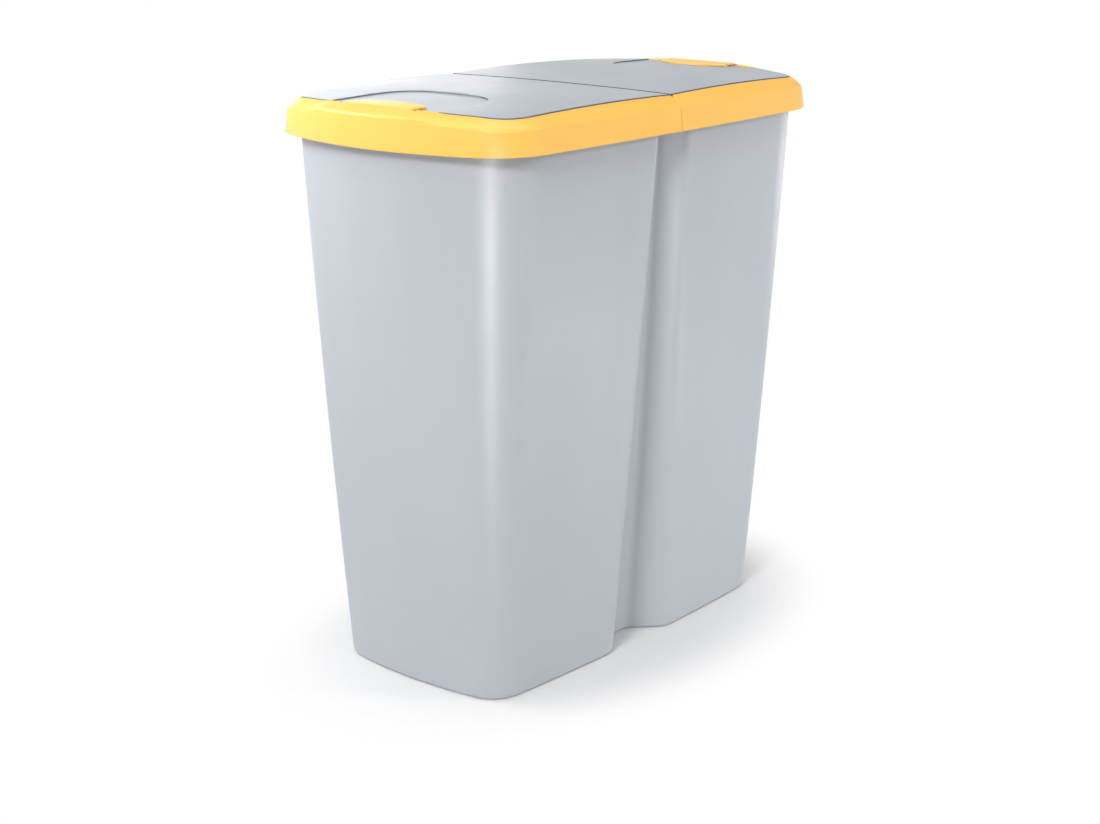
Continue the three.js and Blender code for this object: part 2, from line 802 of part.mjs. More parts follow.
for (const [side, turn] of sides) {
  place(`frame_${side}`, turn(frameShape), yellow);
  place(`lid_${side}`, turn(lidShape), lidGrey);
  place(`latch_${side}`, turn(latchShape), yellow);
  place(`hinge_pin_${side}_back`, turn(backPin), pinGrey);
  place(`hinge_pin_${side}_front`, turn(frontPin), pinGrey);
}

export default bin;
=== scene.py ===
import math

import bmesh
import bpy
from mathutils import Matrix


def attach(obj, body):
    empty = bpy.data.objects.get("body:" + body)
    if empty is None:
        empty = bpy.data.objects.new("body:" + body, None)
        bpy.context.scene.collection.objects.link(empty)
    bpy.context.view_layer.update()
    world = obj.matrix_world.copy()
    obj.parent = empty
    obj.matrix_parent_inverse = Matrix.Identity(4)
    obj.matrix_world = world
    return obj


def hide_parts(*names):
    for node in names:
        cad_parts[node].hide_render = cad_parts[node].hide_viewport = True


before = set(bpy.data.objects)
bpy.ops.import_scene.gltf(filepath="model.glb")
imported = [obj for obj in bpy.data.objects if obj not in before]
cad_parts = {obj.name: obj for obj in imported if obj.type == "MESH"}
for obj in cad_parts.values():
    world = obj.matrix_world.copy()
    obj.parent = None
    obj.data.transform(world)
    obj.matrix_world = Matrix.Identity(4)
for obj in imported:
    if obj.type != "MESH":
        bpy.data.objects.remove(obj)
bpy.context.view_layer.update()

# A double recycling bin. Sizes are in millimetres and become metres when a piece is made.
# The origin is the middle of the base, +X runs along the bin, -Y is the front, +Z is up.

MM = 0.001

# ---- Sizes ----------------------------------------------------------------------------------

RIM_LENGTH = 480
RIM_WIDTH = 278
TUB_HEIGHT = 490

# Plans seen from above: half the length and width, how far ends and sides bow, the corner radius.
OVERHANG = 9.2
HALF_LENGTH = RIM_LENGTH / 2
HALF_WIDTH = RIM_WIDTH / 2
TOP_LENGTH = HALF_LENGTH - OVERHANG
TOP_WIDTH = HALF_WIDTH - OVERHANG
RIM_PLAN = {"length": HALF_LENGTH, "width": HALF_WIDTH, "end": 17.4, "side": 3.7, "corner": 51}
TUB_AT_SKIRT = {"length": TOP_LENGTH, "width": TOP_WIDTH, "end": 16, "side": 3.7, "corner": 55}
TUB_AT_BASE = {"length": 196.2, "width": 99.5, "end": 6.2, "side": 5.2, "corner": 29.5}

# The groove in each long side, seen from above.
GROOVE_AT_SKIRT = {"shoulder": 20.5, "floor": 4.6, "depth": 20, "foot": 5, "round_over": 10}
GROOVE_AT_BASE = {"shoulder": 38.5, "floor": 14, "depth": 26.8, "foot": 12, "round_over": 22}

# Tub: its walls lean outwards from the base to the skirt's lower edge, and bulge a little.
WALL_BULGE = 1.04
WALL = 2.4
PARTITION = 3
BASE_EDGE = 4.5
CHAMBER_FLOOR = 5
CHAMBER_ROUND = 5
FOOT_WIDTH = 9
FOOT_POCKET = 2
GROOVE_CLOSURE = TUB_HEIGHT - 16
GROOVE_FADE = 1.2
SADDLE_FLOOR = TUB_HEIGHT - 10.7
SADDLE_ROUND = 1.2
FLANGE_THICKNESS = 2.6
FLANGE_UNDER_EDGE = ((0.5, 0), (0.15, 0.15), (0, 0.5))  # (inset, rise from the flange's underside)
FLANGE_TOP_EDGE = ((0, -0.7), (0.2, -0.2), (0.7, 0))  # (inset, rise from the tub's top)
CHAMBER_LIP = ((-0.6, -0.08), (-0.25, -0.3), (0, -0.75), (2, -0.75))  # (rise from the top, inset)

# Fits
FIT = 0.6
CLOSE_FIT = 0.3
SEAT = TUB_HEIGHT + CLOSE_FIT
NUDGE = 0.01  # keeps faces out of one plane, where a join or a cut would fail
OVERLAP = 0.5  # how far one body runs into another before they are joined
SMALL_ROUND = 0.3
CORNER_SHARE = 0.45  # the most of a side that the rounding of one corner takes

# Frames: a draughted skirt, a slanted band, a shelf under the lid, and a collar inside the tub.
SKIRT_OVERLAP = 21.4
SKIRT_BOTTOM = TUB_HEIGHT - SKIRT_OVERLAP
SKIRT_DRAFT = 2.7
SKIRT_WALL = 2.4
SKIRT_TOP = TUB_HEIGHT + 1.6
SKIRT_RISE_AT_END = 1.6
SKIRT_DIP_AT_CORNER = 2.8
SKIRT_TOP_AT_LATCH = TUB_HEIGHT + 6.2

# The section's outside turns from skirt to band here: from the inset on, at shares of the band.
BEND_INSET = 5.1
BEND_RUN = 0.35
BEND_RISE = 0.46
BEND_LIFT = 0.4
LEAN_ALLOWANCE = 0.1

BAND_INSET = 13.5
BAND_INSET_END = 20
BAND_RAISED_HALF = 56
BAND_RAISED_FADE = 20
SEAM_GAP = 0.6
SEAM_EDGE_RADIUS = 0.6
SEAM_NOTCH_RADIUS = 2.2
SEAM_NOTCH_RISE = 0.96
SEAM_STATIONS = (0, 0.04, 0.14, 0.28, 0.47, 0.72, 1, 5)  # in edge radii from the seam
COLLAR_WALL = 1.8
COLLAR_DEPTH = 26
COLLAR_RISE = 2.2
BAR_WALL = 1.8
BAR_ROUND = 0.35
BAR_END_ROUND = 0.2
SHELF_REACH = 8
SHELF_THICKNESS = 2
LEDGE_THICKNESS = 1.8
LEDGE_BITE = 1.5
LEDGE_WALL = 0.4
APRON_DROP = 7

# Lids
LID_TOP = TUB_HEIGHT + 10
ABOVE_LIDS = LID_TOP + 9
LID_REACH = RIM_LENGTH / 2 - BAND_INSET_END - FIT
LID_HALF_WIDTH = RIM_WIDTH / 2 - BAND_INSET - FIT
LID_THICKNESS = 2.5
LID_END_RISE = 0.6
LID_SWELL = 2
LID_CROWN = 0.35
LID_CROWN_AT_SPLIT = 1.55
LID_CROWN_AT_END = 5.82
LID_CROWN_PLACE = 70
LID_EDGE_ROUND = 1.1
LID_EDGE_SIDE = 1.25
LID_UNDER_CHAMFER = 0.4
LID_UNDER_RISE = 0.35
LID_STEP = 0.2
LID_STEP_AT_LATCH = -0.4
SPLIT_HALF = 0.8
SPLIT_EASE = 0.35
SPLIT_EASE_DEPTH = 0.8
RECESS_DEPTH = 1.2
RECESS_HALF_WIDTH = 60
RECESS_LENGTH = 89
RECESS_SQUARENESS = 4
RECESS_FOOT = 1.1
RECESS_FOOT_RISE = 0.6
RECESS_EDGE = ((0.05, 0.45), (0.2, 0.22), (0.45, 0.07), (0.85, -0.02), (0.9, -3))  # (out, down)
RIB_INSET = 11
RIB_PROFILE = ((0, 0.4), (2.24, 0.4), (2.24, -5.2), (1.84, -5.6), (0.4, -5.6), (0, -5.2))  # (in, up)
RIB_LATCH_ROOM = 6 * FIT
RIB_SADDLE_ROOM = 2

# Hinges
HINGE_X = 11.2
HINGE_Z = LID_TOP - 6.6
PIN_RADIUS = 1.5
PIN_FIT = 0.25
PIN_BITE = 2.5
PIN_ROUND = 0.35
PIN_HEAD_RADIUS = 2.4
PIN_HEAD_THICKNESS = 1.4
PIN_HEAD_ROUND = 0.4
EAR_RADIUS = 3.3
EAR_THICKNESS = 2.2
EAR_ROUND = 0.25

# Latches: a tab on two trunnions, with a hook that hangs from it.
LATCH_HALF = 37.6
LATCH_DEPTH = 17
LATCH_BOW = 11
LATCH_CORNER = 3.2
LATCH_RISE = 0.3
LATCH_PLATE = 1.8
LATCH_TOP_ROUND = 0.7
LATCH_UNDER_CHAMFER = 0.35
PIVOT_INSET = 2
PIVOT_DROP = 3.6
TRUNNION = 1.4
TRUNNION_LENGTH = 3
TRUNNION_WALL = 1.8
CHEEK_HALF = 2.8
CHEEK_DROP = 2.2
CHEEK_THICKNESS = 3.6
HOOK_HALF = 12
HOOK_INSET = 4
HOOK_LENGTH = 12
HOOK_THICKNESS = 2
TOOTH_HEIGHT = 2
TOOTH_REACH = 1.7


def mix(a, b, t):
    return a + (b - a) * t


def between(first, second, t):
    """The sizes a share t of the way from one set to another."""
    return {key: mix(first[key], second[key], t) for key in first}


def smooth(t):
    t = min(max(t, 0.0), 1.0)
    return t * t * (3 - 2 * t)


def lid_top(x, y):
    """Height of the lids' domes, which swell in their middle and fall away at the long sides."""
    across = (y / LID_HALF_WIDTH) ** 2
    past = abs(x) - LID_CROWN_PLACE
    if past > 0:
        most, run = LID_CROWN_AT_END, LID_REACH - LID_CROWN_PLACE
    else:
        most, run = LID_CROWN_AT_SPLIT, LID_CROWN_PLACE
    crown = mix(LID_CROWN, most, (past / run) ** 2)
    swell = LID_SWELL * math.sin(math.pi * x / LID_REACH) ** 2 * (1 - across)
    return LID_TOP + LID_END_RISE * (x / LID_REACH) ** 2 - crown * across + swell


# ---- Outlines seen from above -----------------------------------------------------------------


def tub_plan(z):
    """The tub's plan at a height."""
    t = z / SKIRT_BOTTOM
    plan = between(TUB_AT_BASE, TUB_AT_SKIRT, t)
    bulge = 4 * WALL_BULGE * t * (1 - t)
    plan["length"] += bulge
    plan["width"] += bulge
    return plan


def groove_profile(z, share, fillet_steps=9):
    """Half of the groove's plan at a height, with its depth times share.

    A point is the distance from the groove's middle, the depth and the normal. The foot and the
    round-over are as large as the sloping wall leaves room for.
    """
    t = z / SKIRT_BOTTOM
    size = between(GROOVE_AT_BASE, GROOVE_AT_SKIRT, t)
    shoulder, floor, depth = size["shoulder"], size["floor"], size["depth"]
    run = shoulder - floor
    slope = math.atan2(depth, run)
    half = math.tan(slope / 2)
    foot = min(size["foot"], 0.9 * floor / half)
    round_over = min(size["round_over"], 0.6 * run / half / 2 + 2)
    points = [(0.0, depth, 0.0)]
    for k in range(fillet_steps + 1):
        turn = slope * k / fillet_steps
        x = floor - foot * half + foot * math.sin(turn)
        points.append((x, depth - foot * (1 - math.cos(turn)), turn))
    for k in range(fillet_steps + 1):
        turn = slope * (1 - k / fillet_steps)
        x = shoulder + round_over * half - round_over * math.sin(turn)
        points.append((x, round_over * (1 - math.cos(turn)), turn))
    if share:
        return [(x, d * share, -math.sin(a), -math.cos(a)) for x, d, a in points]
    return [(x, 0.0, 0.0, -1.0) for x, d, a in points]


CORNER_ROUNDS = 30  # after these the core's side and end meet


def quarter(plan, groove=None, first=None, side_steps=10, corner_steps=16, end_steps=14):
    """Outline points (x, y, normal x, normal y) from the front's middle to the +X end's middle."""
    core_x, core_y = plan["length"] - plan["corner"], plan["width"] - plan["corner"]

    def side_y(x):
        return core_y - plan["side"] * (x / core_x) ** 2

    def side_slope(x):
        return 2 * plan["side"] * x / core_x**2

    def end_x(y):
        return core_x - plan["end"] * (y / core_y) ** 2

    def end_slope(y):
        return 2 * plan["end"] * y / core_y**2

    corner_x, corner_y = core_x, core_y
    for _ in range(CORNER_ROUNDS):
        corner_x = end_x(corner_y)
        corner_y = side_y(corner_x)
    points = []

    def put(x, y, nx, ny):
        """Adds the point that lies one corner radius out from the core's outline."""
        size = math.hypot(nx, ny)
        nx, ny = nx / size, ny / size
        points.append((x + plan["corner"] * nx, y + plan["corner"] * ny, nx, ny))

    start = 0.0
    if groove:
        for x, depth, nx, ny in groove:
            points.append((x, -side_y(x) - plan["corner"] + depth, nx, ny))
            start = x
    elif first:
        for x in first:
            put(x, -side_y(x), side_slope(x), -1)
            start = x
    else:
        put(0, -side_y(0), 0, -1)
    for k in range(1, side_steps + 1):
        x = mix(start, corner_x, k / side_steps)
        put(x, -side_y(x), side_slope(x), -1)
    low, high = math.atan2(-1, side_slope(corner_x)), math.atan2(-end_slope(corner_y), 1)
    for k in range(1, corner_steps + 1):
        angle = mix(low, high, k / corner_steps)
        put(corner_x, -corner_y, math.cos(angle), math.sin(angle))
    for k in range(1, end_steps + 1):
        y = mix(corner_y, 0, k / end_steps)
        put(end_x(y), -y, 1, -end_slope(y))
    return points


def half_outline(plan, **options):
    front = quarter(plan, **options)
    return front + [(x, -y, nx, -ny) for x, y, nx, ny in reversed(front[:-1])]


def full_outline(plan, **options):
    right = half_outline(plan, **options)
    return right + [(-x, -y, -nx, -ny) for x, y, nx, ny in right[1:-1]]


def inset(points, by):
    return [(x - by * nx, y - by * ny, nx, ny) for x, y, nx, ny in points]


def ring_at(points, z):
    return [(p[0], p[1], z) for p in points]


def chamber_rings(levels):
    """Rings round the right-hand chamber's inside, one for each (height, inset)."""
    rings = []
    for z, by in levels:
        points = inset(half_outline(tub_plan(z), groove=groove_profile(z, 1)), WALL + by)
        face = PARTITION / 2 + by
        points[0] = (face,) + points[0][1:]
        points[-1] = (face,) + points[-1][1:]
        rings.append(ring_at(points, z))
    last = len(rings[0]) - 1
    clear = [i for i in range(1, last) if all(ring[i][0] > ring[0][0] + 0.3 for ring in rings)]
    return [[ring[i] for i in (0, *clear, last)] for ring in rings]


# ---- Mesh tools -------------------------------------------------------------------------------


def only(obj):
    bpy.ops.object.select_all(action="DESELECT")
    obj.select_set(True)
    bpy.context.view_layer.objects.active = obj


def skin(name, rings, loop=False):
    """A closed body: a grid wrapped round its rings, with its two ends filled or joined."""
    around, along = len(rings[0]), len(rings)
    rows = rings + [rings[0]] if loop else rings
    bpy.ops.object.select_all(action="DESELECT")
    bpy.ops.mesh.primitive_grid_add(x_subdivisions=around, y_subdivisions=len(rows) - 1, size=1)
    obj = bpy.context.object
    obj.name = name
    for j, row in enumerate(rows):
        for i in range(around + 1):
            x, y, z = row[i % around]
            obj.data.vertices[j * (around + 1) + i].co = (x * MM, y * MM, z * MM)
    bpy.ops.object.mode_set(mode="EDIT")
    bpy.ops.mesh.select_all(action="SELECT")
    bpy.ops.mesh.remove_doubles(threshold=1e-6)
    if not loop:
        bpy.ops.mesh.select_all(action="SELECT")
        bpy.ops.mesh.fill_holes(sides=0)
    bpy.ops.mesh.select_all(action="SELECT")
    bpy.ops.mesh.normals_make_consistent(inside=False)
    bpy.ops.object.mode_set(mode="OBJECT")
    obj.location = obj.rotation_euler = (0, 0, 0)
    return obj


def block(name, x0, x1, y0, y1, z0, z1, bevel=0.0, segments=2):
    """A box between two corners with its edges rounded."""
    bpy.ops.object.select_all(action="DESELECT")
    bpy.ops.mesh.primitive_cube_add(size=1)
    obj = bpy.context.object
    obj.name = name
    middle = ((x0 + x1) / 2, (y0 + y1) / 2, (z0 + z1) / 2)
    size = (x1 - x0, y1 - y0, z1 - z0)
    for vertex in obj.data.vertices:
        vertex.co = [(m + s * c) * MM for m, s, c in zip(middle, size, vertex.co)]
    if bevel:
        bpy.ops.object.mode_set(mode="EDIT")
        bpy.ops.mesh.select_all(action="SELECT")
        bpy.ops.mesh.bevel(offset=bevel * MM, segments=segments)
        bpy.ops.object.mode_set(mode="OBJECT")
    return obj


def rod(name, radius, x, z, y0, y1, bevel=0.0, sides=40):
    """A round bar along Y with its end edges rounded."""
    bpy.ops.object.select_all(action="DESELECT")
    length = (y1 - y0) * MM
    turn = (math.pi / 2, 0, 0)
    bpy.ops.mesh.primitive_cylinder_add(vertices=sides, radius=radius * MM, depth=length, rotation=turn)
    obj = bpy.context.object
    obj.name = name
    obj.location = (x * MM, (y0 + y1) / 2 * MM, z * MM)
    bpy.ops.object.transform_apply(location=True, rotation=True, scale=True)
    if bevel:
        bpy.ops.object.mode_set(mode="EDIT")
        bpy.ops.mesh.select_all(action="DESELECT")
        bm = bmesh.from_edit_mesh(obj.data)
        for edge in bm.edges:
            first, second = edge.verts
            edge.select = abs(first.co.y - second.co.y) < 1e-7
        bmesh.update_edit_mesh(obj.data)
        bpy.ops.mesh.bevel(offset=bevel * MM, segments=2)
        bpy.ops.object.mode_set(mode="OBJECT")
    return obj


def post(name, radius, x, y, z0, z1):
    """A round bar along Z."""
    bpy.ops.object.select_all(action="DESELECT")
    bpy.ops.mesh.primitive_cylinder_add(vertices=32, radius=radius * MM, depth=(z1 - z0) * MM)
    obj = bpy.context.object
    obj.name = name
    obj.location = (x * MM, y * MM, (z0 + z1) / 2 * MM)
    bpy.ops.object.transform_apply(location=True, rotation=True, scale=True)
    return obj


def combine(obj, tool, operation):
    """Joins or cuts obj with tool, and takes the tool away."""
    only(obj)
    modifier = obj.modifiers.new("shape", "BOOLEAN")
    modifier.operation = operation
    modifier.solver = "EXACT"
    modifier.object = tool
    bpy.ops.object.modifier_apply(modifier=modifier.name)
    bpy.data.objects.remove(tool, do_unlink=True)
    return obj


def add(obj, *tools):
    for tool in tools:
        combine(obj, tool, "UNION")
    return obj


def cut(obj, *tools):
    for tool in tools:
        combine(obj, tool, "DIFFERENCE")
    return obj


def mirror(obj, name):
    """The same piece on the other side of the bin."""
    other = obj.copy()
    other.data = obj.data.copy()
    other.name = name
    bpy.context.collection.objects.link(other)
    for vertex in other.data.vertices:
        vertex.co.x = -vertex.co.x
    other.data.flip_normals()
    return other


def dress(obj, angle=32):
    """Smooth shading that keeps real corners and keeps flat faces flat."""
    only(obj)
    bpy.ops.object.shade_smooth_by_angle(angle=math.radians(angle))
    modifier = obj.modifiers.new("even", "WEIGHTED_NORMAL")
    modifier.keep_sharp = True
    modifier.weight = 60
    bpy.ops.object.modifier_apply(modifier=modifier.name)


def both(y0, y1, way):
    """A stretch along Y, at the back for way 1 and at the front for way -1."""
    return (y0, y1) if way > 0 else (-y1, -y0)


# ---- Tub --------------------------------------------------------------------------------------


def arc(steps):
    """(1 - sine, 1 - cosine) along a quarter turn."""
    turns = [k * math.pi / 2 / steps for k in range(steps + 1)]
    return [(1 - math.sin(turn), 1 - math.cos(turn)) for turn in turns]


def saddle_size():
    """Half the length and half the width of the saddle that is cut in the tub's waist."""
    return groove_profile(SADDLE_FLOOR, 1)[-1][0] + 1, tub_plan(TUB_HEIGHT)["width"] - 3


def make_tub():
    """One shell: two chambers that meet at a waist, a flange round the top, and a saddle."""

    def body_ring(z, share=1, by=0.0):
        return ring_at(inset(full_outline(tub_plan(z), groove=groove_profile(z, share)), by), z)

    rings = [body_ring(BASE_EDGE * rise, 1, BASE_EDGE * run) for run, rise in arc(7)]
    wall_steps, fade_steps = 21, 4
    for k in range(1, wall_steps + 1):
        rings.append(body_ring(mix(BASE_EDGE, GROOVE_CLOSURE, k / wall_steps)))
    for k in range(1, fade_steps + 1):
        z = GROOVE_CLOSURE + GROOVE_FADE * k / fade_steps
        rings.append(body_ring(z, 1 - smooth(k / fade_steps)))
    rings.append(body_ring(TUB_HEIGHT, 0))
    tub = skin("tub_shell", rings)

    edge = full_outline(RIM_PLAN, side_steps=20)
    flange_inset = SKIRT_WALL + SKIRT_DRAFT + CLOSE_FIT
    low = TUB_HEIGHT - FLANGE_THICKNESS
    levels = [(by, low + rise) for by, rise in FLANGE_UNDER_EDGE]
    levels += [(by, TUB_HEIGHT + rise) for by, rise in FLANGE_TOP_EDGE]
    add(tub, skin("flange", [ring_at(inset(edge, flange_inset + by), z) for by, z in levels]))

    chamber_steps = 19
    wall_start = CHAMBER_FLOOR + CHAMBER_ROUND
    levels = [(CHAMBER_FLOOR + CHAMBER_ROUND * rise, CHAMBER_ROUND * run) for run, rise in arc(7)]
    for k in range(1, chamber_steps + 1):
        levels.append((mix(wall_start, TUB_HEIGHT - 1, k / chamber_steps), 0))
    levels += [(TUB_HEIGHT + rise, by) for rise, by in CHAMBER_LIP]
    chamber = skin("chamber", chamber_rings(levels))
    levels = [(-2, FOOT_WIDTH), (FOOT_POCKET - 0.6, FOOT_WIDTH), (FOOT_POCKET, FOOT_WIDTH + 0.8)]
    pocket = skin("pocket", chamber_rings(levels))
    cut(tub, mirror(chamber, "chamber_far"), chamber, mirror(pocket, "pocket_far"), pocket)
    reach, side = saddle_size()
    low, high = SADDLE_FLOOR, TUB_HEIGHT + 4
    cut(tub, block("saddle", -reach, reach, -side, side, low, high, SADDLE_ROUND, 3))
    dress(tub)
    return tub


# ---- Frames -----------------------------------------------------------------------------------


def fillet(corners, steps):
    """A closed section of (d, z) corners with each rounded by its own radius."""
    points = []
    count = len(corners)
    for i, (d, z, radius) in enumerate(corners):
        if not radius:
            points.append((d, z))
            continue
        before, after = corners[i - 1], corners[(i + 1) % count]
        ud, uz = before[0] - d, before[1] - z
        vd, vz = after[0] - d, after[1] - z
        ul, vl = math.hypot(ud, uz), math.hypot(vd, vz)
        ud, uz, vd, vz = ud / ul, uz / ul, vd / vl, vz / vl
        angle = math.acos(max(-1, min(1, ud * vd + uz * vz)))
        reach = min(radius / math.tan(angle / 2), CORNER_SHARE * ul, CORNER_SHARE * vl)
        real = reach * math.tan(angle / 2)
        bd, bz = ud + vd, uz + vz
        bl = math.hypot(bd, bz) or 1.0
        away = math.sin(angle / 2)
        md, mz = d + bd / bl * real / away, z + bz / bl * real / away
        start = math.atan2(z + uz * reach - mz, d + ud * reach - md)
        stop = math.atan2(z + vz * reach - mz, d + vd * reach - md)
        turn = (stop - start + math.pi) % (2 * math.pi) - math.pi
        for k in range(steps[i] + 1):
            a = start + turn * k / steps[i]
            points.append((md + real * math.cos(a), mz + real * math.sin(a)))
    return points


# Radii and steps of the section's corners, from the skirt's foot over the band and down inside.
SECTION_RADII = (0.7, 3.4, 16, 0.7, 0.3, 0.5, 0.5, 0.4, 0.3, 0.3, 0.7)
SECTION_STEPS = (4, 8, 6, 4, 2, 3, 3, 2, 2, 2, 3)
OUTER_POINTS = sum(steps + 1 for steps in SECTION_STEPS[:4])


def frame_section(point, seam):
    """The frame's section at one station; seam is the distance from the seam between the frames."""
    x, y, nx, ny = point
    end = nx**4
    inner = mix(BAND_INSET, BAND_INSET_END, end)
    top = lid_top(x - inner * nx, y - inner * ny)
    raised = 1 - smooth((abs(y) - BAND_RAISED_HALF) / BAND_RAISED_FADE) if end > 0.5 else 0.0
    band_top = top - mix(LID_STEP, LID_STEP_AT_LATCH, raised)
    plain = SKIRT_TOP + SKIRT_RISE_AT_END * nx**2 - SKIRT_DIP_AT_CORNER * (2 * nx * ny) ** 2
    skirt_top = mix(plain, SKIRT_TOP_AT_LATCH, raised)
    shelf = top - LID_THICKNESS - CLOSE_FIT
    run = mix(BEND_INSET, inner, BEND_RUN)
    mid = mix(skirt_top, band_top, BEND_RISE)
    slope = (mid - skirt_top - BEND_LIFT) / (run - BEND_INSET)
    lean = (SKIRT_DRAFT + LEAN_ALLOWANCE) / (skirt_top - SKIRT_BOTTOM)
    corner = (skirt_top + BEND_LIFT - BEND_INSET * slope - SKIRT_BOTTOM) / (1 / lean - slope)
    places = (
        (0, SKIRT_BOTTOM),
        (corner, SKIRT_BOTTOM + corner / lean),
        (run, mid),
        (inner, band_top),
        (inner, shelf),
        (inner + SHELF_REACH, shelf),
        (inner + SHELF_REACH, shelf - SHELF_THICKNESS),
        (inner, shelf - SHELF_THICKNESS),
        (inner, SEAT),
        (SKIRT_DRAFT + SKIRT_WALL, SEAT),
        (SKIRT_WALL, SKIRT_BOTTOM),
    )
    corners = [(d, z, radius) for (d, z), radius in zip(places, SECTION_RADII)]
    points = fillet(corners, SECTION_STEPS)
    size = SEAM_EDGE_RADIUS
    if seam < size:
        back = size - math.sqrt(size**2 - (size - seam) ** 2)
        moved = []
        for i, (d, z) in enumerate(points):
            if i < OUTER_POINTS:
                before, after = points[i - 1], points[(i + 1) % len(points)]
                td, tz = after[0] - before[0], after[1] - before[1]
                length = math.hypot(td, tz) or 1.0
                d, z = d + back * tz / length, z - back * td / length
            moved.append((d, z))
        points = moved
    return [(x - d * nx, y - d * ny, z) for d, z in points]


def make_collar():
    """The thin wall that hangs from the frame into the chamber, with its lower edge rounded."""
    low, high = TUB_HEIGHT - COLLAR_DEPTH, SEAT + COLLAR_RISE
    inner = FIT + COLLAR_WALL
    levels = [(low, FIT + 0.7), (low + 0.25, FIT + 0.2), (low + 0.8, FIT), (high, FIT)]
    collar = skin("collar", chamber_rings(levels))
    levels = [(low - 1, inner - 0.6), (low, inner - 0.6), (low + 0.6, inner), (high + 1, inner)]
    return cut(collar, skin("throat", chamber_rings(levels)))


def make_frame():
    """The right-hand frame: the rim, its collar, the bar with the hinges, and the catch."""
    start = SEAM_GAP / 2
    first = [start + share * SEAM_EDGE_RADIUS for share in SEAM_STATIONS]
    outline = half_outline(RIM_PLAN, first=first, side_steps=14, corner_steps=26, end_steps=30)
    rim = skin("frame_right_shell", [frame_section(point, point[0] - start) for point in outline])
    collar = make_collar()

    saddle_side = saddle_size()[1]
    floor = SADDLE_FLOOR + FIT
    bar_reach = HINGE_X + EAR_RADIUS + FIT
    bar_half = saddle_side - FIT
    face = RIM_WIDTH / 2 - BAND_INSET
    side = face + 5 * NUDGE
    add(rim, collar)
    cut(rim, block("hinge_room", start - 1, bar_reach, -side, side, floor, ABOVE_LIDS))
    far = bar_reach + BAR_WALL
    low, top = floor - 3 * NUDGE, floor + BAR_WALL
    add(rim, block("bar_floor", start, far, -bar_half, bar_half, low, top, BAR_ROUND))
    x0, x1, low = bar_reach - 3 * NUDGE, far + 2 * NUDGE, floor + 2 * NUDGE
    add(rim, block("bar_wall", x0, x1, -face - 1, face + 1, low, TUB_HEIGHT, BAR_ROUND))
    near, far, low = start + 2 * NUDGE, far - 2 * NUDGE, floor + 5 * NUDGE
    for name, way in (("bar_end_front", -1), ("bar_end_back", 1)):
        y0, y1 = both(face - 3 * NUDGE, bar_half - 2 * NUDGE, way)
        add(rim, block(name, near, far, y0, y1, low, SEAT + 1, BAR_END_ROUND))
    notch_floor = HINGE_Z + PIN_RADIUS + SEAM_NOTCH_RISE
    for way in (-1, 1):
        y0, y1 = both(face - 1, face + PIN_BITE, way)
        cut(rim, rod("bearing", PIN_RADIUS + PIN_FIT, HINGE_X, HINGE_Z, y0, y1))
        x, y = start - 7 * NUDGE, way * (face + 3 * NUDGE)
        cut(rim, post("seam_notch", SEAM_NOTCH_RADIUS, x, y, notch_floor, ABOVE_LIDS))
    add_catch(rim)
    dress(rim)
    return rim


def add_catch(rim):
    """The room for the latch in the frame's end, and the ledge that its hook takes hold of."""
    end = RIM_LENGTH / 2 - BAND_INSET_END
    room = LATCH_HALF + TRUNNION_LENGTH + 2 * FIT
    inner, outer = end - SHELF_REACH - 3, end - 5 * NUDGE
    cut(rim, block("latch_room", inner, outer, -room, room, SEAT, ABOVE_LIDS))
    ledge = latch_top() - LATCH_PLATE - HOOK_LENGTH + TOOTH_HEIGHT + CLOSE_FIT
    ledge_start = LID_REACH - HOOK_INSET + 2
    half, outer = HOOK_HALF + 1, end + LEDGE_BITE
    top, slim = ledge + LEDGE_THICKNESS, half - NUDGE
    add(rim, block("ledge", ledge_start, outer, -half, half, ledge, top, SMALL_ROUND))
    inner, low, top = end - LEDGE_WALL, TUB_HEIGHT - APRON_DROP, SEAT + 1
    add(rim, block("apron", inner, outer, -slim, slim, low, top, SMALL_ROUND))


# ---- Lids -------------------------------------------------------------------------------------


def split_lean(y, drop):
    """How far the lid's edge at the split leans back, drop below its top."""
    run = HINGE_X - SPLIT_HALF
    rise = lid_top(0, y) - HINGE_Z
    radius = math.hypot(run, rise - LID_THICKNESS)
    return run - math.sqrt(radius**2 - (rise - drop) ** 2)


def lid_points(by, lean_at=None, chamfer=0.0):
    """The right-hand lid's outline: the rim's outline moved in by the band, cut at the split.

    With lean_at, a depth under the lid's top, the edge at the split leans back as it does there.
    """
    points = []
    for x, y, nx, ny in half_outline(RIM_PLAN, side_steps=16, corner_steps=22, end_steps=18):
        move = mix(BAND_INSET, BAND_INSET_END, nx**4) + by + chamfer
        points.append((x - move * nx, y - move * ny))
    base = SPLIT_HALF + by - FIT
    steps = 24
    low, high = points[0][1], points[-1][1]
    edge = [(base, mix(high, low, k / steps)) for k in range(1, steps)]
    points[0], points[-1] = (base, low), (base, high)
    if lean_at is not None:
        ease = SPLIT_EASE * max(0.0, 1 - lean_at / SPLIT_EASE_DEPTH) ** 2
        points[0] = (base + split_lean(low, lean_at) + ease, low)
        points[-1] = (base + split_lean(high, lean_at) + ease, high)
        edge = [(x + split_lean(y, lean_at) + ease, y) for x, y in edge]
    return points + edge


def shrink(points, share, middle):
    return [(mix(middle[0], x, share), mix(middle[1], y, share)) for x, y in points]


def domed(points, height, drop=0.0):
    return [(x, y, height(x, y) - drop) for x, y in points]


def underside(x, y):
    return lid_top(x, y) - LID_THICKNESS


